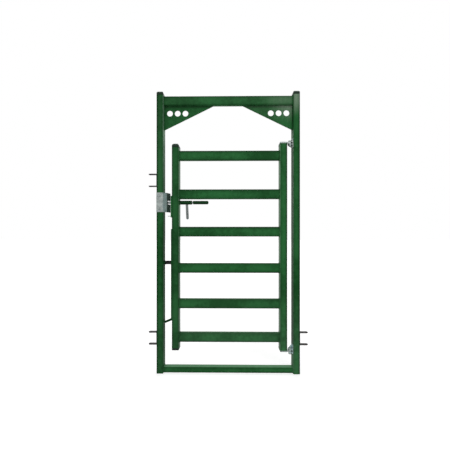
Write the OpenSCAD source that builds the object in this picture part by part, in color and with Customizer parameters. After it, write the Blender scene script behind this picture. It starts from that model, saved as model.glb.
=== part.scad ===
/* Livestock bow gate: a walk-through gate hung in its own tube frame.
   Front faces -Y, +X is to the right, +Z is up. The origin is the middle of
   the sill's underside, half way between the posts. Millimetres. */

/* [Frame] */
// Overall width across the outer faces of the posts
frame_w = 1219; // [1000:1:1600]
// Height of the post tubes above the ground, without their caps
post_h = 2374; // [2250:1:2900]
// Width of the post tubes, seen from the front
tube_w = 57; // [50:1:66]
// Depth of the post and stile tubes
tube_d = 86; // [70:1:96]
// Wall of the post and stile tubes
tube_t = 2; // [1.6:0.1:4]
// Corner radius of the post and stile tubes
tube_r = 6; // [5:0.5:8]
// Drop of the header's top below the top of the post tubes
header_drop = 0; // [0:1:40]
// Height of the header
header_h = 80; // [60:1:96]
// Height and depth of the square sill tube
sill_s = 50; // [40:1:60]

/* [Rails] */
// Height of each gate rail
rail_h = 84; // [60:1:96]
// Depth of the header and of each gate rail
rail_d = 40; // [34:1:50]
// Corner radius of the rails
rail_r = 12; // [6:1:16]
// Wall of the rails
rail_t = 1.6; // [1.2:0.1:3]

/* [Gate leaf] */
// Width of the stile tubes, seen from the front
stile_w = 60; // [50:1:66]
// Gap between the latch post and the gate leaf
latch_gap = 73.5; // [70:0.5:90]
// Gap between the gate leaf and the hinge post
hinge_gap = 50.5; // [50:0.5:60]
// Height of the leaf's underside above the ground
leaf_z0 = 200; // [150:1:300]
// Height of the leaf from end to end of the hinge stile
leaf_h = 1756; // [1700:1:1900]
// Height of the bottom rail's centre above the leaf's underside
rail_6_up = 100; // [60:1:140]
// Spacing from the bottom rail to the fifth rail
pitch_5 = 289; // [200:1:300]
// Spacing from the fifth rail to the fourth
pitch_4 = 306; // [200:1:320]
// Spacing from the fourth rail to the third
pitch_3 = 313; // [200:1:325]
// Spacing from the third rail to the second
pitch_2 = 322; // [250:1:330]
// Spacing from the second rail to the top rail
pitch_1 = 332; // [200:1:340]

/* [Gussets] */
// Length of each gusset along the header
gusset_l = 434; // [380:1:480]
// Height of each gusset down the post
gusset_h = 212; // [190:1:260]
// Thickness of the gusset plates
gusset_t = 5; // [3:0.5:8]
// Diameter of the round holes in the gussets
gusset_hole_d = 50; // [30:1:54]
// Distance of the first hole's centre from the post
gusset_hole_x = 50; // [40:1:56]
// Distance of the holes' centres below the header
gusset_hole_drop = 65; // [40:1:70]
// Spacing of the holes in the gussets
gusset_pitch = 67; // [60:1:72]

/* [Hinges] */
// Diameter of the hinge pins
pin_d = 16; // [12:0.5:20]
// Distance of the hinge axis in front of the leaf's centre plane
axis_front = 25; // [24:1:30]
// Thickness of the hinge straps
strap_t = 13; // [6:1:14]
// Thickness of the hinge brackets' plates
bracket_t = 5; // [4:0.5:5]
// Reach of the top bracket up and down the post, past its ears
top_arm = 24; // [16:1:40]
// Reach of the bottom bracket up the post, past its upper ear
bottom_arm_up = 38; // [20:1:50]
// Reach of the bottom bracket down the post, past its lower ear
bottom_arm_down = 12; // [8:1:30]

/* [Latch] */
// Diameter of the latch bolt
bolt_d = 20; // [16:0.5:24]
// How far the bolt draws back
bolt_travel = 26; // [22:1:28]
// Height of the latch bolt below the second rail's centre
bolt_drop = 71; // [66:1:76]
// Gap between the bolt's tip and the latch post
bolt_tip_gap = 14.5; // [12:0.5:18]
// Outer diameter of the latch housing tube
housing_d = 34; // [32:1:38]
// Length of the latch housing tube
housing_l = 107; // [106:1:140]
// Diameter of the latch grip
grip_d = 30; // [26:1:34]
// Length of the latch grip
grip_l = 132; // [100:1:160]
// Length of the hanging latch lever below the bolt
lever_l = 145; // [100:1:180]
// Width of the latch lever
lever_w = 22; // [14:1:24]
// Height of the keeper plate
keeper_h = 166; // [140:1:200]
// Thickness of the keeper plate
keeper_t = 4; // [3:0.5:5]

/* [Connector lugs] */
// Reach of the lugs from the post
lug_reach = 77; // [65:1:95]
// Width of the lugs, front to back
lug_w = 32; // [28:1:60]
// Thickness of the lug plates
lug_t = 8; // [6:1:10]
// Distance between the centres of a lug's two ears
lug_spacing = 103; // [80:1:140]
// Diameter of the lugs' pin holes
lug_hole_d = 17; // [12:0.5:18]
// Height of the lower lugs' centre above the ground
low_lug_z = 290; // [200:1:400]
// Height of the upper lug's centre above the ground
high_lug_z = 1652; // [1600:1:1750]

/* [Hidden] */
$fn = 64;

GREEN = [0.15, 0.33, 0.19];
ZINC = [0.66, 0.68, 0.68];
BLACK = [0.12, 0.12, 0.13];

eps = 1;                    // how far a cutting body runs past a face
fit_gap = 0.3;              // clearance of a push-in plug
run_gap = 0.1;              // radial clearance of a running fit
cap_skirt = 17;             // straight band of a tube cap
cap_rim = 1;                // narrow ledge between the skirt and the rounded top
cap_rise = 24;              // rounded top of a cap
boss_rise = 3;              // flat boss on the cap under the latch stile
boss_step = 4;              // how far the boss is drawn in from the skirt
latch_stile_drop = 30;      // the latch stile's tube ends this far below the hinge stile's
cap_plug = 15;              // how far a cap's plug goes into its tube
cap_wall = 2.5;             // wall of a cap and its plug

// Faces that other pieces line up with
post_out = frame_w / 2;
post_in = post_out - tube_w;
stile_out_l = -post_in + latch_gap;
stile_in_l = stile_out_l + stile_w;
stile_out_r = post_in - hinge_gap;
stile_in_r = stile_out_r - stile_w;
header_top = post_h - header_drop;
header_under = header_top - header_h;
leaf_z1 = leaf_z0 + leaf_h;
front_y = -tube_d / 2;
rear_y = tube_d / 2;

// Rail centres, bottom to top
rail_6_z = leaf_z0 + rail_6_up;
rail_5_z = rail_6_z + pitch_5;
rail_4_z = rail_5_z + pitch_4;
rail_3_z = rail_4_z + pitch_3;
rail_2_z = rail_3_z + pitch_2;
rail_1_z = rail_2_z + pitch_1;

// Hinges
axis_x = post_in - hinge_gap / 2 + 0.75;
axis_y = -axis_front;
strap_gap = 2;              // air between a strap and each ear
eye_r = pin_d / 2 + 5;      // radius of a strap's eye
ear_r = eye_r + 2;          // radius of a bracket's ear
cheek_gap = 3;              // air between a strap's eye and the bracket's cheek
bracket_y0 = axis_y - 11;   // front edge of a bracket's back plate
bracket_y1 = axis_y + eye_r + cheek_gap + bracket_t;
pin_head_d = pin_d + 10;
pin_head_h = 8;
nut_af = 1.5 * pin_d;       // across the flats
nut_h = 13;
pin_end = 4;                // thread standing past the nut

// Latch
bolt_z = rail_2_z - bolt_drop;
bolt_tip_x = -post_in + bolt_tip_gap;
housing_x1 = stile_in_l + housing_l;
housing_t = 3;
grip_gap = 11;              // bare bolt between the housing and the grip
grip_x0 = housing_x1 + grip_gap;
grip_x1 = grip_x0 + grip_l;
bolt_x1 = grip_x1 - 30;
lever_t = 6;
lever_lean = 2.5;           // degrees, foot towards the hinges
lever_x = stile_in_l + 62.5;
slot_clear = 3;
guide_t = 12;
guide_w = 60;
guide_z0 = bolt_z - 129;
guide_z1 = bolt_z + 55;
strip_t = 12;
strip_w = 40;
strip_z0 = rail_6_z + 159;
strip_z1 = rail_3_z + 22;

// Keeper: plan of its front surface, from the post's outer edge to the lip
keeper_z0 = bolt_z - 85;
keeper_bend_x = -post_in + 0.5;
ramp_run = 28;
ramp_fall = 18;
lip_run = 22;
lip_fall = 46;
notch_h = bolt_d + 10;
notch_y0 = -bolt_d / 2 - 6;
keeper_bolt_d = 10;
keeper_bolt_up = [33, 137]; // heights of the two bolts on the plate
keeper_bolt_x = -post_out + 24;

// Stops behind the latch stile
stop_gap = 1;
rubber_t = 8;
stop_t = 8;
stop_h = 32;
stop_z = rail_4_z + 41;
stop_reach = 40;            // how far a stop runs behind the stile
low_bar_d = 20;
low_bar_z = rail_6_z + 100;
low_bar_lean = 22;          // degrees above level

module rounded_rect(w, d, r) {
    square([w - 2 * r, d], center = true);
    square([w, d - 2 * r], center = true);
    for (sx = [-1, 1], sy = [-1, 1])
        translate([sx * (w / 2 - r), sy * (d / 2 - r)])
            circle(r);
}

// Box tube standing on the XY plane
module tube(w, d, r, t, l) {
    linear_extrude(l)
        difference() {
            rounded_rect(w, d, r);
            rounded_rect(w - 2 * t, d - 2 * t, max(0.5, r - t));
        }
}

// Box tube lying along X from x0 to x1: h is its height, d its depth
module level_tube(h, d, r, t, x0, x1) {
    translate([x0, 0, 0])
        rotate([0, 90, 0])
            tube(h, d, r, t, x1 - x0);
}

// Cylinder along X from x0 to x1
module level_rod(d, x0, x1) {
    translate([x0, 0, 0])
        rotate([0, 90, 0])
            cylinder(d = d, h = x1 - x0);
}

// Outline of a cap's plug in a tube of width w, drawn in by inset
module plug_outline(w, inset) {
    inward = tube_t + fit_gap + inset;
    rounded_rect(w - 2 * inward, tube_d - 2 * inward, max(0.5, tube_r - tube_t - inset));
}

// Push-in cap on a tube of width w, hollow below. Its child is its head
module tube_cap(w) {
    difference() {
        union() {
            children();
            translate([0, 0, -cap_plug])
                linear_extrude(cap_plug)
                    plug_outline(w, 0);
        }
        translate([0, 0, -cap_plug - eps])
            linear_extrude(cap_plug + eps + cap_skirt - cap_wall)
                plug_outline(w, cap_wall);
    }
}

// Side view of a domed head of width w: a band a little past its sides up to the
// skirt's rim, and above it an arc from rim to rim
module arch(w) {
    half = w / 2 - cap_rim;
    r = (pow(half, 2) + pow(cap_rise, 2)) / (2 * cap_rise);
    translate([-w / 2 - eps, -eps])
        square([w + 2 * eps, cap_skirt + eps]);
    intersection() {
        translate([-half, cap_skirt / 2])
            square([2 * half, cap_skirt / 2 + cap_rise + eps]);
        translate([0, cap_skirt + cap_rise - r])
            circle(r, $fn = 256);
    }
}

// Skirt flush with the tube and a top rounded both ways from a level rim
module domed_head(w) {
    intersection() {
        linear_extrude(cap_skirt + cap_rise)
            rounded_rect(w, tube_d, tube_r);
        rotate([90, 0, 0])
            linear_extrude(tube_d + 2 * eps, center = true)
                arch(w);
        rotate([90, 0, 90])
            linear_extrude(w + 2 * eps, center = true)
                arch(tube_d);
    }
}

// Skirt flush with the tube and a low flat boss
module flat_head(w) {
    linear_extrude(cap_skirt)
        rounded_rect(w, tube_d, tube_r);
    linear_extrude(cap_skirt + boss_rise)
        rounded_rect(w - 2 * boss_step, tube_d - 2 * boss_step, max(0.5, tube_r - boss_step));
}

module post(side) {
    color(GREEN)
        translate([side * (post_out - tube_w / 2), 0, 0])
            tube(tube_w, tube_d, tube_r, tube_t, post_h);
}

module left_post() {
    color(GREEN)
        difference() {
            post(-1);
            keeper_bolt_places()
                cylinder(d = keeper_bolt_d + 2 * fit_gap, h = 4 * tube_t, center = true);
        }
}

module right_post() { post(1); }

module post_cap(side) {
    color(BLACK)
        translate([side * (post_out - tube_w / 2), 0, post_h])
            tube_cap(tube_w)
                domed_head(tube_w);
}

module left_post_cap() { post_cap(-1); }

module right_post_cap() { post_cap(1); }

module header_rail() {
    color(GREEN)
        translate([0, 0, header_top - header_h / 2])
            level_tube(header_h, rail_d, rail_r, rail_t, -post_in, post_in);
}

module sill() {
    color(GREEN)
        translate([0, 0, sill_s / 2])
            level_tube(sill_s, sill_s, tube_r - 1, tube_t, -post_in, post_in);
}

// Triangular plate under the header, with three round holes
module gusset(side) {
    color(GREEN)
        mirror([side > 0 ? 1 : 0, 0, 0])
            translate([-post_in, gusset_t / 2, header_under])
                rotate([90, 0, 0])
                    linear_extrude(gusset_t)
                        difference() {
                            polygon([[0, 0], [gusset_l, 0], [0, -gusset_h]]);
                            for (i = [0:2])
                                translate([gusset_hole_x + i * gusset_pitch,
                                           -gusset_hole_drop])
                                    circle(d = gusset_hole_d);
                        }
}

module left_gusset() { gusset(-1); }

module right_gusset() { gusset(1); }

// Two-eared connector lug on a post's outer face, with a pin hole through both ears
module connector_lug(side, z) {
    end_r = lug_w / 2;
    hole_x = lug_reach - end_r;
    half = (lug_spacing + lug_t) / 2;
    color(BLACK)
        mirror([side < 0 ? 1 : 0, 0, 0])
            translate([post_out, 0, z]) {
                translate([0, -lug_w / 2, -half])
                    cube([lug_t, lug_w, 2 * half]);
                for (s = [-1, 1])
                    translate([0, 0, s * lug_spacing / 2 - lug_t / 2])
                        linear_extrude(lug_t)
                            difference() {
                                union() {
                                    translate([0, -lug_w / 2])
                                        square([hole_x, lug_w]);
                                    translate([hole_x, 0])
                                        circle(end_r);
                                }
                                translate([hole_x, 0])
                                    circle(d = lug_hole_d);
                            }
            }
}

module left_upper_lug() { connector_lug(-1, high_lug_z); }

module left_lower_lug() { connector_lug(-1, low_lug_z); }

module right_lower_lug() { connector_lug(1, low_lug_z); }

// Places its children at the keeper's bolts, pointing out of the post's front
module keeper_bolt_places() {
    for (up = keeper_bolt_up)
        translate([keeper_bolt_x, front_y, keeper_z0 + up])
            rotate([90, 0, 0])
                children();
}

// Bent strike plate: flat on the post, a ramp into the gap, a steep lip
module latch_keeper() {
    t = keeper_t;
    ramp_x = keeper_bend_x + ramp_run;
    ramp_y = front_y + ramp_fall;
    lip_x = ramp_x + lip_run;
    lip_y = ramp_y + lip_fall;
    color(ZINC)
        difference() {
            translate([0, 0, keeper_z0])
                linear_extrude(keeper_h)
                    polygon([
                        [-post_out, front_y - t],
                        [keeper_bend_x, front_y - t],
                        [ramp_x, ramp_y - t],
                        [lip_x, lip_y],
                        [lip_x - t, lip_y],
                        [ramp_x - t, ramp_y],
                        [keeper_bend_x - t / 2, front_y],
                        [-post_out, front_y]
                    ]);
            translate([ramp_x - 2 * t, notch_y0, bolt_z - notch_h / 2])
                cube([lip_run + 4 * t, lip_y - notch_y0 + eps, notch_h]);
            keeper_bolt_places()
                cylinder(d = keeper_bolt_d + 2 * fit_gap, h = 4 * keeper_t, center = true);
        }
}

// Hex bolts through the keeper and the post's front wall
module keeper_bolts() {
    head_h = 6.5;
    head_d = 19;
    color(ZINC)
        keeper_bolt_places() {
            translate([0, 0, keeper_t])
                cylinder(d = head_d, h = head_h, $fn = 6);
            translate([0, 0, -tube_t - 8])
                cylinder(d = keeper_bolt_d, h = tube_t + 8 + keeper_t);
        }
}

// Bracket on the hinge post: a back plate, a triangular cheek behind the strap and
// two ears, above and below the strap whose underside is at height z
module hinge_bracket(z, arm_up, arm_down) {
    t = bracket_t;
    top = strap_t + strap_gap + t;
    foot = -strap_gap - t;
    back_x = post_in - t;
    tip_x = axis_x - ear_r;
    color(ZINC)
        translate([0, 0, z])
            difference() {
                union() {
                    translate([back_x, bracket_y0, foot - arm_down])
                        cube([t, bracket_y1 - bracket_y0, top - foot + arm_up + arm_down]);
                    translate([0, bracket_y1, 0])
                        rotate([90, 0, 0])
                            linear_extrude(t)
                                polygon([
                                    [tip_x, foot], [back_x, foot - arm_down],
                                    [back_x, top + arm_up], [tip_x, top]
                                ]);
                    for (ear_z = [foot, top - t])
                        translate([0, 0, ear_z])
                            linear_extrude(t) {
                                translate([axis_x, axis_y])
                                    circle(ear_r);
                                translate([axis_x, bracket_y0])
                                    square([back_x - axis_x, bracket_y1 - bracket_y0]);
                                translate([tip_x, axis_y])
                                    square([back_x - tip_x, bracket_y1 - axis_y]);
                            }
                }
                translate([axis_x, axis_y, foot - eps])
                    cylinder(d = pin_d + 2 * run_gap, h = top - foot + 2 * eps);
            }
}

module top_hinge_bracket() { hinge_bracket(leaf_z1, top_arm, top_arm); }

module bottom_hinge_bracket() {
    hinge_bracket(leaf_z0 - strap_t, bottom_arm_up, bottom_arm_down);
}

// Pin with a flat head on the upper ear, running down through both ears
module hinge_pin(z) {
    top = strap_t + strap_gap + bracket_t;
    foot = strap_gap + bracket_t + nut_h + pin_end;
    color(ZINC)
        translate([axis_x, axis_y, z]) {
            translate([0, 0, -foot])
                cylinder(d = pin_d, h = foot + top);
            translate([0, 0, top])
                cylinder(d = pin_head_d, h = pin_head_h);
        }
}

module top_hinge_pin() { hinge_pin(leaf_z1); }

module bottom_hinge_pin() { hinge_pin(leaf_z0 - strap_t); }

module hinge_nuts() {
    color(ZINC)
        for (z = [leaf_z1, leaf_z0 - strap_t])
            translate([axis_x, axis_y, z - strap_gap - bracket_t - nut_h])
                difference() {
                    cylinder(d = nut_af / cos(30), h = nut_h, $fn = 6);
                    translate([0, 0, -eps])
                        cylinder(d = pin_d, h = nut_h + 2 * eps);
                }
}

// Flat bar welded to the back of the latch post, reaching behind the latch stile
module upper_stop_arm() {
    x0 = -post_out + 10;
    x1 = stile_out_l + stop_reach;
    y0 = rear_y;
    step_y = stop_gap + rubber_t;
    color(BLACK)
        translate([0, 0, stop_z - stop_h / 2])
            linear_extrude(stop_h)
                polygon([
                    [x0, y0], [-post_in + 4, y0], [-post_in + 4 + step_y, y0 + step_y],
                    [x1, y0 + step_y], [x1, y0 + step_y + stop_t],
                    [-post_in + step_y, y0 + step_y + stop_t], [-post_in, y0 + stop_t],
                    [x0, y0 + stop_t]
                ]);
}

// Rubber block between the stop arm and the back of the latch stile
module stop_rubber() {
    color(BLACK)
        translate([stile_out_l + 2, rear_y + stop_gap, stop_z - stop_h / 2 + 2])
            cube([stop_reach - 4, rubber_t, stop_h - 4]);
}

// Round bar on the back of the latch post, rising behind the latch stile
module lower_stop_bar() {
    run = (latch_gap + stop_reach + 30) / cos(low_bar_lean);
    color(GREEN)
        translate([-post_in - 30, rear_y + low_bar_d / 2 + stop_gap / 2, low_bar_z])
            rotate([0, 90 - low_bar_lean, 0])
                cylinder(d = low_bar_d, h = run);
}

module latch_stile() {
    color(GREEN)
        difference() {
            translate([stile_out_l + stile_w / 2, 0, leaf_z0 + cap_skirt])
                tube(stile_w, tube_d, tube_r, tube_t, leaf_h - cap_skirt - latch_stile_drop);
            translate([0, 0, bolt_z])
                level_rod(bolt_d + 2, stile_out_l - eps, stile_in_l + eps);
        }
}

module hinge_stile() {
    color(GREEN)
        translate([stile_out_r - stile_w / 2, 0, leaf_z0])
            tube(stile_w, tube_d, tube_r, tube_t, leaf_h);
}

module latch_stile_top_cap() {
    color(BLACK)
        translate([stile_out_l + stile_w / 2, 0, leaf_z1 - latch_stile_drop])
            tube_cap(stile_w)
                domed_head(stile_w);
}

module latch_stile_bottom_cap() {
    color(BLACK)
        translate([stile_out_l + stile_w / 2, 0, leaf_z0 + cap_skirt])
            mirror([0, 0, 1])
                tube_cap(stile_w)
                    flat_head(stile_w);
}

module gate_rail(z) {
    color(GREEN)
        translate([0, 0, z])
            level_tube(rail_h, rail_d, rail_r, rail_t, stile_in_l, stile_in_r);
}

module rail_1() { gate_rail(rail_1_z); }

module rail_2() { gate_rail(rail_2_z); }

module rail_3() { gate_rail(rail_3_z); }

module rail_4() { gate_rail(rail_4_z); }

module rail_5() { gate_rail(rail_5_z); }

module rail_6() { gate_rail(rail_6_z); }

// Plate closing a stile end, with an eye reaching out to the hinge pin
module hinge_strap(z) {
    color(ZINC)
        translate([0, 0, z])
            linear_extrude(strap_t)
                difference() {
                    union() {
                        translate([stile_out_r - stile_w / 2, 0])
                            rounded_rect(stile_w, tube_d, tube_r);
                        translate([stile_out_r - stile_w / 2, axis_y - eye_r])
                            square([axis_x - stile_out_r + stile_w / 2, 2 * eye_r]);
                        translate([axis_x, axis_y])
                            circle(eye_r);
                    }
                    translate([axis_x, axis_y])
                        circle(d = pin_d + 2 * run_gap);
                }
}

module top_hinge_strap() { hinge_strap(leaf_z1); }

module bottom_hinge_strap() { hinge_strap(leaf_z0 - strap_t); }

module stile_strip() {
    color(GREEN)
        translate([stile_out_l - strip_t, -strip_w / 2, strip_z0])
            cube([strip_t, strip_w, strip_z1 - strip_z0]);
}

// Thick plate on the latch stile's outer face that guides the bolt
module latch_guide_plate() {
    color(GREEN)
        difference() {
            translate([stile_out_l - guide_t, -guide_w / 2, guide_z0])
                cube([guide_t, guide_w, guide_z1 - guide_z0]);
            translate([0, 0, bolt_z])
                level_rod(bolt_d + 2 * run_gap, stile_out_l - guide_t - eps, stile_out_l + eps);
        }
}

// Tube on the stile's inner face round the bolt, slotted below for the lever
module latch_housing() {
    guide_l = 4;
    bore = housing_d - 2 * housing_t;
    slot_x0 = lever_x - lever_w / 2 - slot_clear;
    slot_x1 = lever_x + lever_w / 2 + bolt_travel + slot_clear;
    color(GREEN)
        translate([0, 0, bolt_z])
            difference() {
                level_rod(housing_d, stile_in_l, housing_x1);
                level_rod(bore, stile_in_l - eps, housing_x1 - guide_l);
                level_rod(bolt_d + 2 * run_gap, stile_in_l, housing_x1 + eps);
                translate([slot_x0, -lever_t / 2 - 1.5, -housing_d])
                    cube([slot_x1 - slot_x0, lever_t + 3, housing_d]);
            }
}

// Thin pin standing out of the latch stile below the guide plate's foot
module stile_stop_pin() {
    color(ZINC)
        translate([0, 0, guide_z0 + 12])
            level_rod(5, stile_out_l - 42, stile_out_l - guide_t);
}

module latch_bolt() {
    nose = 4;
    color(ZINC)
        translate([0, 0, bolt_z]) {
            translate([bolt_tip_x, 0, 0])
                rotate([0, 90, 0])
                    cylinder(d1 = bolt_d - 2 * nose + 2, d2 = bolt_d, h = nose);
            level_rod(bolt_d, bolt_tip_x + nose, bolt_x1);
        }
}

// Round-ended grip on the free end of the bolt
module latch_grip() {
    color(GREEN)
        translate([0, 0, bolt_z])
            difference() {
                union() {
                    level_rod(grip_d, grip_x0, grip_x1 - 10);
                    translate([grip_x1 - 10, 0, 0])
                        rotate([0, 90, 0])
                            rotate_extrude()
                                grip_end();
                }
                level_rod(bolt_d, grip_x0 - eps, bolt_x1);
            }
}

// Half section of the grip's rounded end
module grip_end() {
    intersection() {
        square([grip_d, 10]);
        union() {
            square([grip_d / 2 - 10, 10]);
            translate([grip_d / 2 - 10, 0])
                circle(10);
        }
    }
}

// Flat lever hanging from the bolt through the housing's slot
module latch_lever() {
    color(ZINC)
        translate([lever_x, 0, bolt_z])
            difference() {
                rotate([0, -lever_lean, 0])
                    translate([0, lever_t / 2, 0])
                        rotate([90, 0, 0])
                            linear_extrude(lever_t) {
                                translate([-lever_w / 2, -lever_l + lever_w / 2])
                                    square([lever_w, lever_l - lever_w / 2 - 4]);
                                translate([0, -lever_l + lever_w / 2])
                                    circle(d = lever_w);
                            }
                level_rod(bolt_d, -lever_l, lever_l);
            }
}

left_post();
right_post();
left_post_cap();
right_post_cap();
header_rail();
sill();
left_gusset();
right_gusset();
left_upper_lug();
left_lower_lug();
right_lower_lug();
latch_keeper();
keeper_bolts();
top_hinge_bracket();
bottom_hinge_bracket();
top_hinge_pin();
bottom_hinge_pin();
hinge_nuts();
upper_stop_arm();
stop_rubber();
lower_stop_bar();
latch_stile();
hinge_stile();
latch_stile_top_cap();
latch_stile_bottom_cap();
rail_1();
rail_2();
rail_3();
rail_4();
rail_5();
rail_6();
top_hinge_strap();
bottom_hinge_strap();
stile_strip();
latch_guide_plate();
latch_housing();
stile_stop_pin();
latch_bolt();
latch_grip();
latch_lever();
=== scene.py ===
"""Livestock bow gate: finishes, welds, washers and threads, studio and camera.

Metres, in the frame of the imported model: front faces -Y, +X right, +Z up.
"""

import math

import bmesh
import bpy
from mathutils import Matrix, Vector, noise


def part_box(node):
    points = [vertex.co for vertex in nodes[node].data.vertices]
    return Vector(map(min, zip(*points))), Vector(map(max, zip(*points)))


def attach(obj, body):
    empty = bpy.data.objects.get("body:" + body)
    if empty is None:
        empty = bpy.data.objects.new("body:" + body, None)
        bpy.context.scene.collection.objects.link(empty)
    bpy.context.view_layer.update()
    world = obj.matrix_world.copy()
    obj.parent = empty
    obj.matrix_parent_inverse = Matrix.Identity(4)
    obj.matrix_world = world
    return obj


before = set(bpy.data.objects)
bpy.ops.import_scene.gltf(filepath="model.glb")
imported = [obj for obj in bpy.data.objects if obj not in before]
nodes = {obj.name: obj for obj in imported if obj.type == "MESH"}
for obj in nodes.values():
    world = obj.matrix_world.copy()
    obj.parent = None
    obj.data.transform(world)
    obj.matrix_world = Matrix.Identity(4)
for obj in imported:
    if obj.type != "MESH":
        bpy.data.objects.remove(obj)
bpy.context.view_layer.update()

RAILS = [f"rail_{i}" for i in range(1, 7)]
ZINC_NODES = ["keeper_bolts", "stile_stop_pin", "latch_bolt"]
HINGE_NODES = [
    "top_hinge_bracket", "top_hinge_pin", "bottom_hinge_pin", "hinge_nuts",
    "top_hinge_strap", "bottom_hinge_strap",
]
LUGS = ["left_upper_lug", "left_lower_lug", "right_lower_lug"]
CAP_NODES = ["left_post_cap", "right_post_cap", "latch_stile_top_cap", "latch_stile_bottom_cap"]

# Colours of the green enamel.
DEEP_GREEN = (0.0088, 0.060, 0.0150)
FULL_GREEN = (0.0215, 0.120, 0.0345)
# Paint thinned in runs; also the painted shade on corners, under the header and beside the
# gussets.
THIN_AND_SHADE_GREEN = (0.0058, 0.033, 0.0092)
# Painted sheen and light on the paler inward sides.
SIDE_SHEEN_GREEN = (0.060, 0.175, 0.075)
# Painted glare, pale.
GLARE_GREEN = (0.240, 0.305, 0.235)
SCUFFED_GREEN = (0.060, 0.140, 0.078)
DUST_ON_TOP = (0.175, 0.290, 0.185)
DUST_AT_FOOT = (0.175, 0.290, 0.200)

# Colours of the zinc plate.
ZINC_GREY = (0.148, 0.170, 0.164)
ZINC_PALE = (0.270, 0.300, 0.286)
ZINC_BLUE = (0.11, 0.160, 0.180)
ZINC_STRAW = (0.23, 0.215, 0.165)
# Painted reflection of the green leaf.
ZINC_LEAF_REFLECTION = (0.120, 0.205, 0.195)
ZINC_STAIN = (0.07, 0.08, 0.078)

# Heights on the gate between which a finish changes: splashed dust, the painted sheen on the
# inward sides, and painted shade beside the gussets.
SPLASHED = (0.15, 0.85)
SHEEN_GROWS = (0.75, 1.45)
BESIDE_GUSSET = (2.02, 2.11)

# Corner radii of the tubes and lugs.
RAIL_CORNER = 0.012
TUBE_CORNER = 0.006
SILL_CORNER = 0.005
LUG_CORNER = 0.001

# Radii of the weld beads.
RAIL_BEAD = 0.0032
HEADER_BEAD = 0.0034
SILL_BEAD = 0.0032
GUSSET_BEAD = 0.0028
LUG_BEAD = 0.0034
STRAP_BEAD = 0.0021
BRACKET_BEAD = 0.0026
GUIDE_BEAD = 0.0028
STRIP_BEAD = 0.0026
HOUSING_BEAD = 0.0026
STOP_ARM_BEAD = 0.0028
STOP_BAR_BEAD = 0.0026

# How far a bead's middle lies inside a rail's end, inside a stile's end, and off a face.
RAIL_INSET = 0.0004
STILE_INSET = 0.0003
FACE_LIFT = 0.0002


# ---------------------------------------------------------------- finishes

class Value:
    """A socket of a shader that can be used in Python sums."""

    def __init__(self, finish, socket):
        self.finish = finish
        self.socket = socket

    def sum(self, operation, a, b):
        return self.finish.node("ShaderNodeMath", {"operation": operation}, {0: a, 1: b})

    def __add__(self, other):
        return self.sum("ADD", self, other)

    def __radd__(self, other):
        return self.sum("ADD", other, self)

    def __sub__(self, other):
        return self.sum("SUBTRACT", self, other)

    def __rsub__(self, other):
        return self.sum("SUBTRACT", other, self)

    def __mul__(self, other):
        return self.sum("MULTIPLY", self, other)

    def __rmul__(self, other):
        return self.sum("MULTIPLY", other, self)


def colour(given):
    """A colour in the form that a socket takes."""
    return given if isinstance(given, Value) else (*given, 1)


def shaded(tone, shade, tint=(1, 1, 1)):
    """A colour made darker or lighter, and tinted."""
    return tuple(shade * c * t for c, t in zip(tone, tint))


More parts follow.
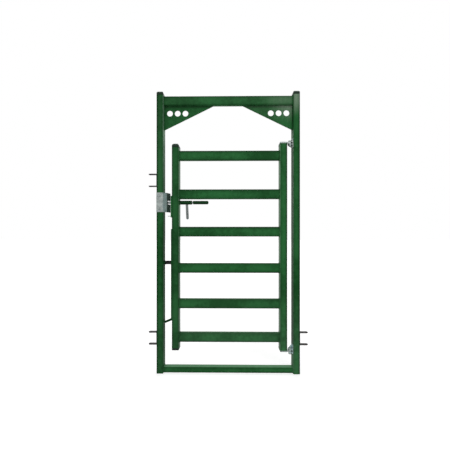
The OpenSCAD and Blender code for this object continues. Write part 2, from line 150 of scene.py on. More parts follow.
class Finish:
    """Builds the nodes of a material or of the world."""

    def __init__(self, owner):
        owner.use_nodes = True
        self.owner = owner
        self.tree = owner.node_tree
        self.tree.nodes.clear()

    def node(self, kind, settings=None, inputs=None, output=0):
        """One node: its settings first, then the values or links of its sockets."""
        made = self.tree.nodes.new(kind)
        for name, setting in (settings or {}).items():
            setattr(made, name, setting)
        for name, given in (inputs or {}).items():
            if isinstance(given, Value):
                self.tree.links.new(given.socket, made.inputs[name])
            else:
                made.inputs[name].default_value = given
        return Value(self, made.outputs[output]) if made.outputs else None

    def coordinate(self, kind):
        """Object: metres on the gate. Generated: 0 to 1 across the piece. Normal: its facing."""
        return self.node("ShaderNodeTexCoord", output=kind)

    def place(self, stretch=(1, 1, 1), turn=(0, 0, 0)):
        """Where a point is on the gate, turned and scaled along each axis."""
        return self.node("ShaderNodeMapping", {}, {
            "Vector": self.coordinate("Object"), "Scale": stretch, "Rotation": turn})

    def noise(self, scale, detail=3, rough=0.5, stretch=(1, 1, 1), turn=(0, 0, 0)):
        return self.node("ShaderNodeTexNoise", {}, {
            "Vector": self.place(stretch, turn), "Scale": scale, "Detail": detail,
            "Roughness": rough})

    def band(self, value, low, high):
        """0 below low, 1 above high, smooth between."""
        return self.node("ShaderNodeMapRange", {"interpolation_type": "SMOOTHSTEP"}, {
            "Value": value, "From Min": low, "From Max": high})

    def blend(self, a, b, amount):
        return self.node("ShaderNodeMix", {"data_type": "RGBA"},
                         {0: amount, 6: colour(a), 7: colour(b)}, output=2)

    def facing_up(self):
        normal = self.node("ShaderNodeNewGeometry", output="Normal")
        return self.node("ShaderNodeSeparateXYZ", {}, {0: normal}, output=2)

    def parts_of(self, vector):
        """The x, y and z of a vector."""
        return [self.node("ShaderNodeSeparateXYZ", {}, {0: vector}, output=i) for i in range(3)]

    def on_corners(self):
        """1 in the middle of a rounded or slanted corner, 0 on the flats beside it."""
        x, y, z = self.parts_of(self.coordinate("Normal"))
        xy, yz, zx = x * y, y * z, z * x
        return self.band(4 * (xy * xy + yz * yz + zx * zx), 0.06, 0.80)

    def off_middle(self, across):
        """On a tube's four faces: 0 along the middle, rising to 1 at the corners.

        across is the direction of the tube's height or width, 2 or 0. The other is y.
        """
        facing = self.parts_of(self.coordinate("Normal"))
        along = self.parts_of(self.coordinate("Generated"))
        on_front = facing[1] * facing[1] * (1 - 4 * along[across] * (1 - along[across]))
        on_sides = facing[across] * facing[across] * (1 - 4 * along[1] * (1 - along[1]))
        return on_front + on_sides

    def bump(self, height, strength, distance, below=None):
        """Relief, over the relief below it if there is any."""
        inputs = {"Height": height, "Strength": strength, "Distance": distance}
        if below:
            inputs["Normal"] = below
        return self.node("ShaderNodeBump", {}, inputs)

    def surface(self, **sockets):
        """The shader itself, from sockets named with underscores."""
        shader = self.node("ShaderNodeBsdfPrincipled", {}, {
            name.replace("_", " "): given for name, given in sockets.items()})
        self.node("ShaderNodeOutputMaterial", {}, {"Surface": shader})
        return self.owner


def shade_towards_corners(paint, body, thin_and_shade, across=None, fade=0.66, lean=0.0):
    """Painted shade: darker paint on rounded corners, and by fade towards those of a tube,
    where its faces turn from the light.

    across is as in off_middle. Lean above 0 darkens the tube's top or right side more, and
    below 0 its foot or left side, as painted shade from light that falls unevenly.
    """
    weight = 1.0
    if across is not None:
        weight = 1 - lean + paint.parts_of(paint.coordinate("Generated"))[across] * (2 * lean)
        body = paint.blend(body, thin_and_shade, paint.off_middle(across) * weight * fade)
    return paint.blend(body, thin_and_shade, paint.on_corners() * weight * 0.72)


def inner_side_sheen(paint, body, thin_and_shade, inward, tone=SIDE_SHEEN_GREEN, foot=0.26,
                rise=SHEEN_GROWS, top_shade=1.0):
    """Painted sheen and light: a paler green on the inward side, in blotches, as much as foot
    low down, most above rise.

    Beside the gusset that side gets painted shade instead, and top_shade says how much.
    """
    height = paint.parts_of(paint.place())[2]
    sheen_blotches = paint.band(paint.noise(22, 4, 0.7, (1, 1, 0.6)), 0.40, 0.60)
    reach = foot + paint.band(height, *rise) * (0.92 - foot)
    shade_beside_gusset = paint.band(height, *BESIDE_GUSSET) * top_shade
    body = paint.blend(body, tone,
                       inward * reach * (1 - shade_beside_gusset) * (0.62 + sheen_blotches * 0.70))
    return paint.blend(body, thin_and_shade, inward * shade_beside_gusset * 0.75)


def painted_glare(paint, mottle, above, most=0.58, right_of=None):
    """Painted glare: how much pale highlight is painted above a height, and most right of a line.
    """
    across, _, height = paint.parts_of(paint.place())
    streaks = paint.noise(60, 4, 0.6, (1, 1, 0.05))
    glare_amount = paint.band(height + streaks * 0.12, above + 0.05, above + 0.22)
    glare_amount = glare_amount * (0.20 + streaks * 1.35 + mottle * 0.25) * most
    if right_of:
        rightward = paint.band(across, right_of, right_of + 0.20)
        glare_amount = glare_amount * (0.10 + rightward * 0.90)
    return glare_amount


def scuffing(paint):
    """Scattered scuffs, some lengthwise and some upright, in a few patches."""
    long_scuffs = paint.band(paint.noise(26, 2, 0.5, (0.18, 6, 9), (0, 0.34, 0.10)), 0.67, 0.72)
    tall_scuffs = paint.band(paint.noise(26, 2, 0.5, (9, 6, 0.18), (0.15, 0.45, 0)), 0.68, 0.73)
    patches = paint.band(paint.noise(5.5, 3), 0.55, 0.64)
    return (long_scuffs + tall_scuffs) * patches


def green_enamel(name, shade=1.0, gloss=0.0, sheen=0.03, tube=None, sheen_side=None,
                 side_sheen=None, glare=None, weld_height=None, top_dust_and_light=0.22,
                 top_dust_and_light_tone=DUST_ON_TOP, splash=0.085):
    """Sprayed green enamel over steel: cloudy shade, orange peel, runs, dust and scuffs,
    with painted shade, painted sheen and painted glare.

    tube, spray and bleach are settings of shade_towards_corners, inner_side_sheen and bleaching.
    sheen_side is 1 where a tube's right side is the inward one, and -1 where its left is.
    Below weld_height, under the header, the paint is darkened as a painted shadow.
    top_dust_and_light is how much dust lies on what faces up, on the sill painted light as well,
    and splash how much there is near the ground.
    """
    paint = Finish(bpy.data.materials.new(name))
    deep, full, thin_and_shade = (shaded(tone, shade) for tone in (DEEP_GREEN, FULL_GREEN, THIN_AND_SHADE_GREEN))
    height = paint.parts_of(paint.place())[2]
    cloud = paint.noise(2.4, 3)
    mottle = paint.noise(34, 5, 0.6)
    runs = paint.noise(70, 3, 0.5, (1, 1, 0.05))
    body = paint.blend(deep, full, paint.band(cloud * 0.70 + mottle * 0.30, 0.38, 0.60))
    body = paint.blend(body, thin_and_shade, paint.band(runs, 0.60, 0.82) * 0.28)
    # Painted shade on rounded corners and towards the edges of the tubes.
    body = shade_towards_corners(paint, body, thin_and_shade, **(tube or {}))

    inward = 0.0
    # Painted sheen and light on the inward side, painted shade beside the gusset.
    if sheen_side:
        facing_right = paint.parts_of(paint.coordinate("Normal"))[0]
        inward = paint.band(facing_right * sheen_side, 0.30, 0.90)
        body = inner_side_sheen(paint, body, thin_and_shade, inward, **(side_sheen or {}))
    # Painted shadow under the header, on the gussets just below the weld.
    if weld_height:
        shadow_under_header = paint.band(height + mottle * 0.012, weld_height - 0.022, weld_height - 0.004)
        body = paint.blend(body, thin_and_shade, shadow_under_header * 0.75)

    glare_amount = 0.0
    # Painted glare: a pale highlight laid over the paint.
    if glare:
        glare_amount = painted_glare(paint, mottle, **glare)
        if tube:
            in_middle = 1 - paint.off_middle(tube["across"]) * 0.70
            glare_amount = glare_amount * in_middle * (1 - inward)
        body = paint.blend(body, GLARE_GREEN, glare_amount)

    # Dust on what faces up; raised, as on the sill, it is painted light on the top face as well.
    dust = paint.band(paint.facing_up(), 0.35, 0.95) * (0.35 + mottle * 0.5)
    body = paint.blend(body, top_dust_and_light_tone, dust * top_dust_and_light)
    splashed = (1 - paint.band(height, *SPLASHED)) * (0.30 + mottle * 1.3)
    body = paint.blend(body, DUST_AT_FOOT, splashed * splash)
    scuffs = scuffing(paint)
    body = paint.blend(body, SCUFFED_GREEN, scuffs * 0.30)

    waves = paint.noise(16, 2, 0.4)
    peel = paint.noise(420, 2, 0.4)
    grain = paint.noise(900, 2, 0.6)
    normal = paint.bump(waves, 0.10, 0.004)
    normal = paint.bump(peel + grain * 0.25 - scuffs * 0.6, 0.16, 0.00035, normal)
    return paint.surface(
        Base_Color=body,
        Roughness=0.29 - gloss + mottle * 0.10 + dust * 0.35 + scuffs * 0.14 + glare_amount * 0.2,
        Specular_IOR_Level=sheen, Normal=normal)


def zinc_plate(name, shade=1.0, leaf_reflection=0.0, blue=0.0):
    """Dull zinc plate: grey spangle, faint blue and straw tints, rubbed lines, handling marks.

    bloom is a painted reflection of the green leaf: blue-green on what is turned to the leaf.
    blue cools the whole plate.
    """
    zinc = Finish(bpy.data.materials.new(name))
    spangle = zinc.node("ShaderNodeTexVoronoi", {}, {"Vector": zinc.place(), "Scale": 210,
                                                     "Randomness": 1.0}, output="Color")
    flake = zinc.node("ShaderNodeSeparateColor", {}, {0: spangle})
    cloud = zinc.noise(24, 4, 0.6)
    tint = zinc.noise(55, 3, 0.5)
    rubbed = zinc.noise(60, 3, 0.6, (14, 14, 0.7))
    cool = (1 - 0.16 * blue, 1.0, 1 + 0.04 * blue)
    metal = zinc.blend(shaded(ZINC_GREY, shade, cool), shaded(ZINC_PALE, shade, cool),
                       zinc.band(cloud * 0.62 + flake * 0.22 + rubbed * 0.16, 0.32, 0.68))
    metal = zinc.blend(metal, shaded(ZINC_BLUE, shade), zinc.band(tint, 0.52, 0.70) * 0.35)
    metal = zinc.blend(metal, shaded(ZINC_STRAW, shade),
                       zinc.band(1 - tint, 0.58, 0.74) * 0.20)
    # Painted reflection of the green leaf on faces turned to it.
    if leaf_reflection:
        to_leaf = zinc.parts_of(zinc.coordinate("Normal"))[0]
        metal = zinc.blend(metal, ZINC_LEAF_REFLECTION, zinc.band(to_leaf, 0.15, 0.60) * leaf_reflection)
    stain = zinc.band(zinc.noise(15, 5, 0.7), 0.56, 0.72)
    metal = zinc.blend(metal, ZINC_STAIN, stain * 0.45)
    normal = zinc.bump(rubbed + cloud * 0.8 + flake * 0.15, 0.22, 0.0004)
    return zinc.surface(
        Base_Color=metal, Metallic=0.82 - stain * 0.35,
        Roughness=0.36 + cloud * 0.16 + stain * 0.18, Normal=normal)


def black_paint(name):
    """Thin satin black paint with rubbed, browner patches and dust."""
    paint = Finish(bpy.data.materials.new(name))
    cloud = paint.noise(18, 4, 0.6)
    rub = paint.noise(75, 4, 0.65)
    coat = paint.blend((0.014, 0.012, 0.013), (0.034, 0.030, 0.030),
                       paint.band(cloud, 0.35, 0.65))
    worn = paint.band(rub * cloud, 0.31, 0.39)
    coat = paint.blend(coat, (0.11, 0.100, 0.092), worn * 0.55)
    dust = paint.band(paint.facing_up(), 0.4, 1.0) * (0.3 + rub * 0.5)
    coat = paint.blend(coat, (0.18, 0.175, 0.155), dust * 0.22)
    normal = paint.bump(rub + paint.noise(520, 2) * 0.3, 0.2, 0.0004)
    return paint.surface(
        Base_Color=coat, Roughness=0.42 + rub * 0.14 + dust * 0.2 - worn * 0.05,
        Metallic=worn * 0.5, Specular_IOR_Level=0.20, Normal=normal)


def cap_plastic(name):
    """Moulded green-black plastic: fine spark texture, rain marks, dust with a painted highlight,
    painted shadow at the foot.
    """
    plastic = Finish(bpy.data.materials.new(name))
    cloud = plastic.noise(30, 4, 0.6)
    spark = plastic.noise(1400, 2, 0.7)
    marks = plastic.band(plastic.noise(120, 3), 0.58, 0.70)
    shell = plastic.blend((0.008, 0.021, 0.012), (0.017, 0.036, 0.022),
                          plastic.band(cloud, 0.35, 0.65))
    # Dust on what faces up, also a painted highlight on the dome's front.
    dust = plastic.band(plastic.facing_up(), 0.25, 0.80) * (0.45 + cloud * 0.5)
    shell = plastic.blend(shell, (0.12, 0.160, 0.125), dust * 0.36 + marks * 0.04)
    # Painted shadow round the cap's foot, where it meets the tube.
    up_the_cap = plastic.parts_of(plastic.coordinate("Generated"))[2]
    foot = 1 - plastic.band(up_the_cap, 0.34, 0.44)
    shell = plastic.blend(shell, (0.003, 0.007, 0.004), foot * 0.75)
    normal = plastic.bump(spark + cloud * 0.5, 0.25, 0.0003)
    return plastic.surface(
        Base_Color=shell, Roughness=0.44 + dust * 0.22 + marks * 0.06,
        Specular_IOR_Level=0.07, Normal=normal)


def stop_rubber_finish(name):
    """Matt black rubber, greyed and lightly marked."""
    rubber = Finish(bpy.data.materials.new(name))
    cloud = rubber.noise(60, 5, 0.65)
    pores = rubber.noise(1100, 3, 0.7)
    skin = rubber.blend((0.018, 0.0165, 0.0165), (0.050, 0.045, 0.043),
                        rubber.band(cloud, 0.36, 0.66))
    normal = rubber.bump(pores + cloud, 0.35, 0.0004)
    return rubber.surface(Base_Color=skin, Roughness=0.74 + cloud * 0.14,
                          Specular_IOR_Level=0.3, Normal=normal)


def dress(names, finish):
    """Gives nodes of the gate their finish."""
    for name in names:
        mesh = nodes[name].data
        mesh.materials.clear()
        mesh.materials.append(finish)


green = green_enamel("green_enamel")
# The weld beads are a lighter copy of the enamel: a painted highlight along the joints.
green_weld = green_enamel("green_enamel_on_weld", 1.50, gloss=0.04)
zinc = zinc_plate("dull_zinc_plate")
zinc_weld = zinc_plate("zinc_spray_on_weld", 0.72)
black = black_paint("satin_black_paint")

# The latch side's pieces are darker copies of the enamel than the hinge side's: painted shade, as
# if lit from the right.
dress(["left_post"], green_enamel(
    "green_enamel_on_latch_post", 0.82, sheen=0.006, splash=0.04,
    tube={"across": 0, "fade": 1.0, "lean": -0.80}, sheen_side=1,
    # Painted highlight along the inner corner, on the inward side.
    side_sheen={"tone": (0.125, 0.230, 0.145), "foot": 0.0, "rise": (1.45, 1.95), "top_shade": 0.0},
    # A faint painted glare above 1.35 m.
    glare={"above": 1.35, "most": 0.030}))
dress(["latch_stile"], green_enamel(
    # Painted sheen on the inward side.
    "green_enamel_on_latch_stile", 0.80, splash=0.04, tube={"across": 0}, sheen_side=1))
dress(["right_post"], green_enamel(
    "green_enamel_on_hinge_post", 0.91, sheen=0.006,
    # Pale painted reflection on the inward side.
    tube={"across": 0, "fade": 1.0, "lean": 0.80}, sheen_side=-1,
    # A painted glare at the top.
    side_sheen={"tone": (0.125, 0.190, 0.133)}, glare={"above": 2.18}))
dress(["hinge_stile"], green_enamel(
    "green_enamel_on_hinge_stile", 1.02, tube={"across": 0, "fade": 0.85, "lean": 0.50},
    # Painted sheen on the inward side.
    sheen_side=-1, side_sheen={"tone": (0.085, 0.200, 0.098)}))
dress(RAILS[:3], green_enamel(
    "green_enamel_on_upper_rails", 1.04, tube={"across": 2, "fade": 0.85, "lean": 0.50}))
dress(RAILS[3:], green_enamel(
    "green_enamel_on_lower_rails", 0.965, tube={"across": 2, "fade": 0.85, "lean": -0.30}))
dress(["header_rail"], green_enamel(
    "green_enamel_on_header", 0.94, tube={"across": 2, "fade": 0.55, "lean": 0.80},
    # A painted glare on the right end.
    glare={"above": 2.0, "most": 0.19, "right_of": 0.25}))
dress(["sill"], green_enamel(
    "green_enamel_on_sill", 0.98, tube={"across": 2, "fade": 0.80, "lean": -0.30},
    # Dust and painted light on the sill's top face.
    top_dust_and_light=1.30, top_dust_and_light_tone=(0.112, 0.262, 0.138), splash=0.01))

gusset_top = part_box("left_gusset")[1][2]
dress(["left_gusset"], green_enamel(
    "green_enamel_on_left_gusset", 0.90, weld_height=gusset_top))
dress(["right_gusset"], green_enamel(
    "green_enamel_on_right_gusset", 0.95, weld_height=gusset_top,
    # A painted glare.
    glare={"above": 2.14, "most": 0.44, "right_of": 0.33}))

dress(["stile_strip", "latch_guide_plate", "lower_stop_bar"], green)
dress(["latch_grip", "latch_housing"], green_enamel("dark_green_on_latch", 0.45))
dress(ZINC_NODES, zinc)
dress(HINGE_NODES, zinc_plate("bright_zinc_on_hinges", 1.22))
dress(["bottom_hinge_bracket"], zinc_plate("blue_zinc_on_bottom_bracket", 2.0, blue=1.0))
dress(["latch_keeper"], zinc_plate("zinc_on_keeper", 1.0, leaf_reflection=0.55))
dress(["latch_lever"], zinc_plate("dark_zinc_lever", 0.50))
dress(LUGS + ["upper_stop_arm"], black)
dress(CAP_NODES, cap_plastic("slate_plastic"))
dress(["stop_rubber"], stop_rubber_finish("matt_rubber"))


# ------------------------------------------------------- edges of the plates

def ease_edges(name, width):
    """Rounds a plate's sharp edges a little, as grinding and paint leave them."""
    node = nodes[name]
    join = node.modifiers.new("join", "WELD")
    join.merge_threshold = 0.00001
    flats = node.modifiers.new("merge_flats", "DECIMATE")
    flats.decimate_type = "DISSOLVE"
    flats.angle_limit = math.radians(1)
    round_off = node.modifiers.new("round_off", "BEVEL")
    round_off.width = width
    round_off.segments = 2
    round_off.limit_method = "ANGLE"
    round_off.angle_limit = math.radians(50)
    round_off.harden_normals = True


for width, names in {
    0.0006: ["keeper_bolts", "hinge_nuts", "lower_stop_bar", "stile_stop_pin"],
    0.0009: ["latch_keeper", "top_hinge_bracket", "bottom_hinge_bracket"],
    0.0010: ["left_gusset", "right_gusset", "top_hinge_strap", "bottom_hinge_strap",
             "latch_lever", "top_hinge_pin", "bottom_hinge_pin"],
    0.0012: ["stile_strip", "upper_stop_arm"],
    0.0014: LUGS + ["latch_guide_plate"],
    0.0015: ["stop_rubber"],
}.items():
    for name in names:
        ease_edges(name, width)


# ------------------------------------------------------------------- welds

def rounded_outline(low, high, corner, steps=6):
    """A rounded rectangle between two corners, anticlockwise, as 2-D points."""
    points = []
    corners = [(high[0] - corner, high[1] - corner, 0), (low[0] + corner, high[1] - corner, 90),
               (low[0] + corner, low[1] + corner, 180), (high[0] - corner, low[1] + corner, 270)]
    for x, y, start in corners:
        for i in range(steps + 1):
            angle = math.radians(start + 90 * i / steps)
            points.append((x + corner * math.cos(angle), y + corner * math.sin(angle)))
    return points


def even_steps(points, step, closed):
    """The same line in even steps, and the length of each."""
    line = [Vector(p) for p in points]
    if closed:
        line.append(line[0])
    length = sum((b - a).length for a, b in zip(line, line[1:]))
    count = max(4, round(length / step))
    spots = []
    travelled, leg = 0.0, 0
    for i in range(count + (0 if closed else 1)):
        target = length * i / count
        while leg < len(line) - 2 and travelled + (line[leg + 1] - line[leg]).length < target:
            travelled += (line[leg + 1] - line[leg]).length
            leg += 1
        along = line[leg + 1] - line[leg]
        spots.append(line[leg] + along * ((target - travelled) / max(along.length, 1e-9)))
    return spots, length / count


def lay_bead(mesh, points, radius, closed=False, seed=0, sides=8):
    """One rippled run of weld metal along the points, tapered where it stops."""
    ripple = radius * 1.15
    spots, step = even_steps(points, ripple / 3, closed)
    count = len(spots)
    rings = []
    side = None
    for i, spot in enumerate(spots):
        ahead = spots[(i + 1) % count] if closed or i + 1 < count else spot
        behind = spots[i - 1] if closed or i > 0 else spot
        along = (ahead - behind).normalized()
        if side is None:
            side = along.orthogonal().normalized()
        side = (side - along * side.dot(along)).normalized()
        other = along.cross(side)
        run = i * step
        swell = 1 + 0.10 * math.sin(2 * math.pi * run / ripple)
        swell += 0.16 * noise.noise(Vector((run / 0.012, seed * 7.3, 0)))
        if not closed:
            swell *= min(1.0, 0.35 + 0.65 * min(i, count - 1 - i) / 5)
        wander = 0.10 * radius * noise.noise(Vector((run / 0.009, seed * 3.1, 5)))
        ring = []
        for k in range(sides):
            angle = 2 * math.pi * k / sides
            offset = side * math.cos(angle) + other * math.sin(angle)
            ring.append(mesh.verts.new(spot + offset * radius * swell + side * wander))
        rings.append(ring)
    for first, second in zip(rings, rings[1:]):
        join_rings(mesh, first, second)
    if closed:
        first, second = rings[-1], rings[0]
        turn = min(range(sides), key=lambda t: (first[0].co - second[t].co).length)
        join_rings(mesh, first, second, turn)
    else:
        mesh.faces.new(rings[0][::-1])
        mesh.faces.new(rings[-1])


def join_rings(mesh, first, second, turn=0):
    """Faces between two rings of points, the second turned by some points."""
    sides = len(first)
    for k in range(sides):
        mesh.faces.new((first[k], first[(k + 1) % sides],
                        second[(k + 1 + turn) % sides], second[(k + turn) % sides]))


def piece(name, mesh, finish, body, smooth=True):
    """Turns a finished bmesh into a piece that rides on a body."""
    data = bpy.data.meshes.new(name)
    bmesh.ops.recalc_face_normals(mesh, faces=mesh.faces)
    mesh.to_mesh(data)
    mesh.free()
    for face in data.polygons:
        face.use_smooth = smooth
    data.materials.append(finish)
    made = bpy.data.objects.new(name, data)
    bpy.context.scene.collection.objects.link(made)
    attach(made, body)


def weld_runs(name, runs, radius, finish, body):
    """One piece from several runs, each (points, closed)."""
    mesh = bmesh.new()
    for i, (points, closed) in enumerate(runs):
        lay_bead(mesh, points, radius, closed, seed=len(name) + i)
    piece(name, mesh, finish, body)


def level_tube_ends(name, corner):
    """Loops round both ends of a tube that lies along X."""
    low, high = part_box(name)
    outline = rounded_outline((low[1], low[2]), (high[1], high[2]), corner)
    return [([(x, y, z) for y, z in outline], True)
            for x in (low[0] + RAIL_INSET, high[0] - RAIL_INSET)]


def stitches(start, end, count, share):
    """Short runs spaced evenly from start to end, which cover a share of the way."""
    start, end = Vector(start), Vector(end)
    runs = []
    for i in range(count):
        middle = (i + 0.5) / count
        half = 0.5 * share / count
        runs.append(([start.lerp(end, middle - half), start.lerp(end, middle + half)], False))
    return runs


def sill_runs():
    """Up the front, over the top and down the back of the sill at each post."""
    low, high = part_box("sill")
    ground_gap = 0.004
    outline = rounded_outline((low[1], low[2]), (high[1], high[2]), SILL_CORNER)
    over = [p for p in outline if p[1] > low[2] + SILL_CORNER]
    over = [(high[1], ground_gap)] + over + [(low[1], ground_gap)]
    return [([(x, y, z) for y, z in over], False)
            for x in (low[0] + RAIL_INSET, high[0] - RAIL_INSET)]


def gusset_runs(name, side):
    """Stitches on both faces of a gusset, under the header and down the post."""
    low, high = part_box(name)
    corner_gap = 0.012
    at_post, tip = (high[0], low[0]) if side > 0 else (low[0], high[0])
    runs = []
    for y in (low[1] - FACE_LIFT, high[1] + FACE_LIFT):
        runs += stitches((at_post, y, high[2]), (tip, y, high[2]), 5, 0.42)
        runs += stitches((at_post, y, high[2] - corner_gap), (at_post, y, low[2]), 3, 0.45)
    return runs


def lug_runs(name):
    """Round the foot of a lug, on the post's outer face."""
    low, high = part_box(name)
    side = -1 if low[0] < 0 else 1
    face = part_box("left_post")[0][0] if side < 0 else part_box("right_post")[1][0]
    outline = rounded_outline((low[1], low[2]), (high[1], high[2]), LUG_CORNER)
    return [([(face + side * FACE_LIFT, y, z) for y, z in outline], True)]


def strap_run(level):
    """Round the end of the hinge stile, where a strap closes it."""
    low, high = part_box("hinge_stile")
    outline = rounded_outline((low[0], low[1]), (high[0], high[1]), TUBE_CORNER)
    return [([(x, y, level) for x, y in outline], True)]


def bracket_runs(name):
    """Down both edges of a bracket's back plate, on the hinge post's inner face."""
    low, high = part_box(name)
    end_gap, front_gap = 0.003, 0.004
    x, front, back = high[0] - FACE_LIFT, low[1] + front_gap, high[1]
    return [([(x, y, low[2] + end_gap), (x, y, high[2] - end_gap)], False)
            for y in (front, back)]


def plate_sides(name, count, share):
    """Down both sides of a plate that lies on the latch stile's outer face."""
    low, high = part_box(name)
    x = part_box("latch_stile")[0][0] - FACE_LIFT
    runs = []
    for y in (low[1], high[1]):
        runs += stitches((x, y, high[2]), (x, y, low[2]), count, share)
    return runs


def housing_run(points=36):
    """A closed loop round the latch housing, at the stile."""
    low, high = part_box("latch_housing")
    y, z, radius = (low[1] + high[1]) / 2, (low[2] + high[2]) / 2, (high[2] - low[2]) / 2
    x = low[0] + STILE_INSET
    return [([(x, y + radius * math.cos(a), z + radius * math.sin(a))
              for a in (math.radians(360 / points * k) for k in range(points))], True)]


def stop_arm_runs():
    """Along the stop arm's top and foot and across its end, on the back of the latch post."""
    low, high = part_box("upper_stop_arm")
    post_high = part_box("left_post")[1]
    post_corner = 0.007
    back, edge = post_high[1] + FACE_LIFT, post_high[0] - post_corner
    return [([(edge, back, high[2]), (low[0], back, high[2]), (low[0], back, low[2]),
              (edge, back, low[2])], False)]


def stop_bar_runs():
    """Above and below the round stop bar, where it crosses the back of the latch post."""
    low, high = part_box("lower_stop_bar")
    post_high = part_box("left_post")[1]
    bead_lift, post_corner, bar_side, end_gap = 0.001, 0.008, 0.008, 0.002
    back, edge = post_high[1] + bead_lift, post_high[0] - post_corner
    lean = math.radians(22)
    thick = high[1] - low[1]
    start_x, start_z = low[0] + thick / 2 * math.sin(lean), low[2] + thick / 2 * math.cos(lean)
    start_x, start_z = start_x + end_gap, start_z + end_gap * math.tan(lean)
    runs = []
    for rise in (-bar_side, bar_side):
        runs.append(([(start_x, back, start_z + rise),
                      (edge, back, start_z + rise + (edge - start_x) * math.tan(lean))], False))
    return runs


for name in RAILS:
    weld_runs(f"{name}_welds", level_tube_ends(name, RAIL_CORNER), RAIL_BEAD,
              green_weld, "gate")
weld_runs("header_welds", level_tube_ends("header_rail", RAIL_CORNER), HEADER_BEAD,
          green_weld, "frame")
weld_runs("sill_welds", sill_runs(), SILL_BEAD, green_weld, "frame")
for name, side in (("left_gusset", -1), ("right_gusset", 1)):
    weld_runs(f"{name}_welds", gusset_runs(name, side), GUSSET_BEAD,
              green_weld, "frame")
for name in LUGS:
    weld_runs(f"{name}_weld", lug_runs(name), LUG_BEAD, black, "frame")

stile_low, stile_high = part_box("hinge_stile")
weld_runs("top_hinge_strap_weld", strap_run(stile_high[2] - STILE_INSET), STRAP_BEAD,
          green_weld, "gate")
weld_runs("bottom_hinge_strap_weld", strap_run(stile_low[2] + STILE_INSET), STRAP_BEAD,
          green_weld, "gate")
for name in ("top_hinge_bracket", "bottom_hinge_bracket"):
    weld_runs(f"{name}_weld", bracket_runs(name), BRACKET_BEAD,
              zinc_weld, "frame")

weld_runs("guide_plate_welds", plate_sides("latch_guide_plate", 3, 0.5), GUIDE_BEAD,
          green_weld, "gate")
weld_runs("stile_strip_welds", plate_sides("stile_strip", 7, 0.28), STRIP_BEAD,
          green_weld, "gate")
weld_runs("latch_housing_weld", housing_run(), HOUSING_BEAD,
          green_weld, "gate")
weld_runs("stop_arm_weld", stop_arm_runs(), STOP_ARM_BEAD, black, "frame")
weld_runs("stop_bar_welds", stop_bar_runs(), STOP_BAR_BEAD,
          green_weld, "frame")


# ------------------------------------------------------ washers and threads

# Radii and thickness of a washer, and a hexagon's half width for each unit to its corner.
WASHER_HOLE, WASHER_RIM, WASHER_THICK = 0.0065, 0.0122, 0.0016
HEX_FLAT = 0.866

# The hinge pins' thread: height above the pin's foot, how far out and in it goes, pitch.
PIN_RADIUS = 0.0080
THREADED = (0.0006, 0.0040)
THREAD_CREST, THREAD_ROOT = 0.0007, 0.0002
THREAD_PITCH = 0.0013


def turned(mesh, profile, centre, axis, sides=48):
    """Turns a closed profile of (radius, height) points about an axis through centre."""
    axis = Vector(axis).normalized()
    side = axis.orthogonal().normalized()
    other = axis.cross(side)
    rings = []
    for radius, height in profile:
        rings.append([mesh.verts.new(
            Vector(centre) + axis * height
            + (side * math.cos(2 * math.pi * k / sides)
               + other * math.sin(2 * math.pi * k / sides)) * radius)
            for k in range(sides)])
    for first, second in zip(rings, rings[1:] + rings[:1]):
        join_rings(mesh, first, second)


def washer_profile(inner, outer, thick):
    """Half of a flat washer's section, with its rim eased."""
    ease = thick * 0.25
    return [(inner, 0), (outer - ease, 0), (outer, ease), (outer, thick - ease),
            (outer - ease, thick), (inner, thick)]


def keeper_washers():
    """A flat washer round the foot of each keeper bolt's head."""
    low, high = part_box("keeper_bolts")
    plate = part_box("latch_keeper")[0][1]
    head = (high[0] - low[0]) / 2
    mesh = bmesh.new()
    for z in (low[2] + head * HEX_FLAT, high[2] - head * HEX_FLAT):
        turned(mesh, washer_profile(WASHER_HOLE, WASHER_RIM, WASHER_THICK),
               ((low[0] + high[0]) / 2, plate, z), (0, -1, 0))
    piece("keeper_washers", mesh, zinc, "frame", smooth=False)


def thread(mesh, centre, low, high, sides=32):
    """A screw thread round a hinge pin, from low to high, running out at both ends."""
    count = max(1, round((high - low) / THREAD_PITCH * sides))
    rows = []
    for i in range(count + 1):
        angle = 2 * math.pi * i / sides
        z = low + (high - low) * i / count
        fade = min(1.0, i / sides * 2, (count - i) / sides * 2)
        root, crest = PIN_RADIUS - THREAD_ROOT, PIN_RADIUS + THREAD_CREST * fade
        row = []
        for r, rise in ((root, -0.45), (crest, 0.0), (root, 0.45)):
            row.append(mesh.verts.new((centre[0] + r * math.cos(angle),
                                       centre[1] + r * math.sin(angle),
                                       z + rise * THREAD_PITCH)))
        rows.append(row)
    for first, second in zip(rows, rows[1:]):
        for k in range(2):
            mesh.faces.new((first[k], first[k + 1], second[k + 1], second[k]))


def hinge_threads():
    """Thread on the pin ends that stand past the nuts."""
    mesh = bmesh.new()
    for name in ("top_hinge_pin", "bottom_hinge_pin"):
        low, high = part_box(name)
        centre = ((low[0] + high[0]) / 2, (low[1] + high[1]) / 2)
        thread(mesh, centre, low[2] + THREADED[0], low[2] + THREADED[1])
    piece("hinge_pin_threads", mesh, zinc, "frame")


keeper_washers()
hinge_threads()


# ------------------------------------------------------- studio and camera

def seen(finish):
    """1 for rays from the camera, off gloss and through glass, else 0."""
    camera_ray = finish.node("ShaderNodeLightPath", output="Is Camera Ray")
    glossy_ray = finish.node("ShaderNodeLightPath", output="Is Glossy Ray")
    clear_ray = finish.node("ShaderNodeLightPath", output="Is Transmission Ray")
    return finish.node("ShaderNodeMath", {"operation": "ADD", "use_clamp": True},
                       {0: camera_ray + glossy_ray, 1: clear_ray})


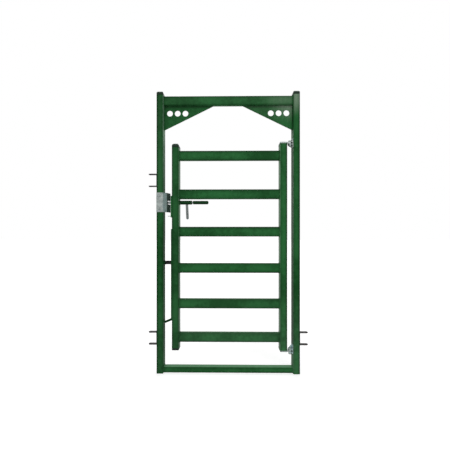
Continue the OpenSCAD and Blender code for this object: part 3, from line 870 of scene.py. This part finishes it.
def pale_world(level):
    """White where it is seen, and light at a level from all round."""
    world = bpy.data.worlds.new("pale_studio")
    bpy.context.scene.world = world
    studio = Finish(world)
    strength = level + seen(studio) * (1 - level)
    light = studio.node("ShaderNodeBackground", {}, {"Color": (1, 1, 1, 1), "Strength": strength})
    studio.node("ShaderNodeOutputWorld", {}, {"Surface": light})


def pale_floor(colour_level, glow):
    """A matt floor just under the gate, which takes its shadow and glows where it is seen."""
    half_width, drop = 60, 0.0006
    mesh = bmesh.new()
    bmesh.ops.create_grid(mesh, x_segments=1, y_segments=1, size=half_width)
    data = bpy.data.meshes.new("floor")
    mesh.to_mesh(data)
    mesh.free()
    floor = bpy.data.objects.new("floor", data)
    floor.location.z = -drop
    bpy.context.scene.collection.objects.link(floor)
    ground = Finish(bpy.data.materials.new("pale_floor"))
    matt = ground.node("ShaderNodeBsdfDiffuse", {}, {"Color": (*[colour_level] * 3, 1)})
    white = ground.node("ShaderNodeEmission", {}, {"Strength": seen(ground) * glow})
    both = ground.node("ShaderNodeAddShader", {}, {0: matt, 1: white})
    ground.node("ShaderNodeOutputMaterial", {}, {"Surface": both})
    data.materials.append(ground.owner)


def soft_lamp(name, azimuth, elevation, strength, spread):
    """A wide, even lamp far off. Azimuth 0 shines on the front, 90 on the right side."""
    lamp = bpy.data.lights.new(name, "SUN")
    lamp.energy = strength
    lamp.angle = math.radians(spread)
    made = bpy.data.objects.new(name, lamp)
    a, e = math.radians(azimuth), math.radians(elevation)
    towards = Vector((math.sin(a) * math.cos(e), -math.cos(a) * math.cos(e), math.sin(e)))
    made.rotation_euler = towards.to_track_quat("Z", "Y").to_euler()
    bpy.context.scene.collection.objects.link(made)


pale_world(level=0.42)
pale_floor(colour_level=0.80, glow=0.46)
soft_lamp("front_lamp", azimuth=-15, elevation=38, strength=1.36, spread=80)
soft_lamp("right_lamp", azimuth=18, elevation=31, strength=0.25, spread=10)
soft_lamp("back_lamp", azimuth=170, elevation=42, strength=0.80, spread=50)

eye = bpy.data.cameras.new("eye")
eye.sensor_width = 36
eye.lens = 22.16
eye.shift_y = 0.022
camera = bpy.data.objects.new("eye", eye)
camera.location = (0, -2.393, 1.180)
camera.rotation_euler = (math.radians(90), 0, math.radians(0.63))
bpy.context.scene.collection.objects.link(camera)
bpy.context.scene.camera = camera
bpy.context.scene.view_settings.view_transform = "Standard"
